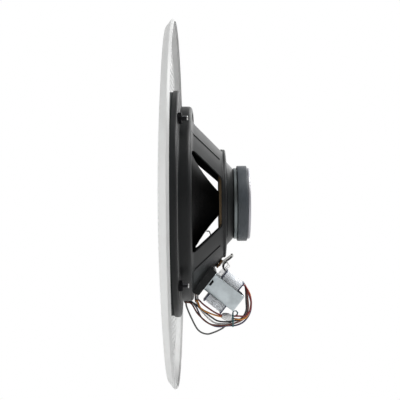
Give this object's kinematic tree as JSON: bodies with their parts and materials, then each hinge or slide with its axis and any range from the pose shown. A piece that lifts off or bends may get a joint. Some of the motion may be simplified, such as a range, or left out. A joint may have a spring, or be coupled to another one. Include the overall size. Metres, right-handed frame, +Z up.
{
  "type": "loudspeaker",
  "caption": "Ceiling loudspeaker: a cone driver held behind a round perforated steel grille, with a line transformer on its basket.",
  "frame": {"origin": "centre of the circle of ceiling screws, half way through the grille's sheet", "axes": "+X along the driver's axis towards the magnet, -X out of the grille's face, +Z up, camera side at -Y"},
  "size_m": [0.081, 0.327, 0.327],
  "materials": {
    "grille_paint": "smooth light grey enamel",
    "stud_steel": "dark oxide with a bright cut end",
    "foam": "open-cell dark foam",
    "black_steel": "black oxide",
    "gasket_paper": "pressed grey-green paper board",
    "basket_paint": "satin black paint",
    "surround_cloth": "doped black cloth",
    "cone_paper": "black pressed paper",
    "former_paper": "brown kraft paper",
    "copper_wire": "copper wire",
    "spider_cloth": "resin-dipped brown cloth",
    "zinc_steel": "bright zinc plate",
    "ferrite": "ground grey ferrite",
    "fibre_board": "brown fibre board",
    "tinned_brass": "tinned brass",
    "tinsel_braid": "braid over tinsel",
    "core_steel": "bare silicon steel edges",
    "bobbin_plastic": "dark blue nylon",
    "winding_paper": "pale winding paper",
    "clear_film": "clear polyester film, wrinkled",
    "bracket_steel": "dull zinc plate",
    "orange_plastic": "wire insulation",
    "red_plastic": "wire insulation",
    "brown_plastic": "wire insulation",
    "black_plastic": "wire insulation",
    "white_plastic": "wire insulation",
    "violet_plastic": "wire insulation",
    "grey_plastic": "wire insulation",
    "clear_plastic": "clear insulation over tinned wire",
    "tie_plastic": "teal plastic over wire"
  },
  "bodies": {
    "frame": {"grille": "grille_paint", "grille_studs": "stud_steel", "foam_ring": "foam", "stud_nuts": "black_steel", "gasket": "gasket_paper", "basket": "basket_paint", "surround": "surround_cloth", "spider": "spider_cloth", "top_plate": "zinc_steel", "magnet": "ferrite", "back_plate": "zinc_steel", "pole_piece": "zinc_steel", "plate_rivets": "zinc_steel", "terminal_board": "fibre_board", "terminal_lugs": "tinned_brass", "terminal_rivet": "tinned_brass", "tinsel_left": "tinsel_braid", "tinsel_right": "tinsel_braid", "transformer_core": "core_steel", "bobbin": "bobbin_plastic", "winding": "winding_paper", "film_wrap": "clear_film", "bracket": "bracket_steel", "bracket_screws": "black_steel", "lead_orange": "orange_plastic", "lead_red": "red_plastic", "lead_brown": "brown_plastic", "lead_black": "black_plastic", "lead_white": "white_plastic", "lead_violet": "violet_plastic", "lead_grey": "grey_plastic", "lead_black_short": "black_plastic", "lead_clear_short": "clear_plastic", "lead_ends": "copper_wire", "lead_tie": "tie_plastic"},
    "cone_assembly": {"cone": "cone_paper", "dust_cap": "cone_paper", "coil_former": "former_paper", "voice_coil": "copper_wire"}
  },
  "joints": [
    {"name": "cone_travel", "type": "slide", "parent": "frame", "child": "cone_assembly", "axis": [1, 0, 0], "range_m": [-0.003, 0.003], "stiffness_N_per_m": 2000, "deforming": ["surround", "spider", "tinsel_left", "tinsel_right"]}
  ]
}
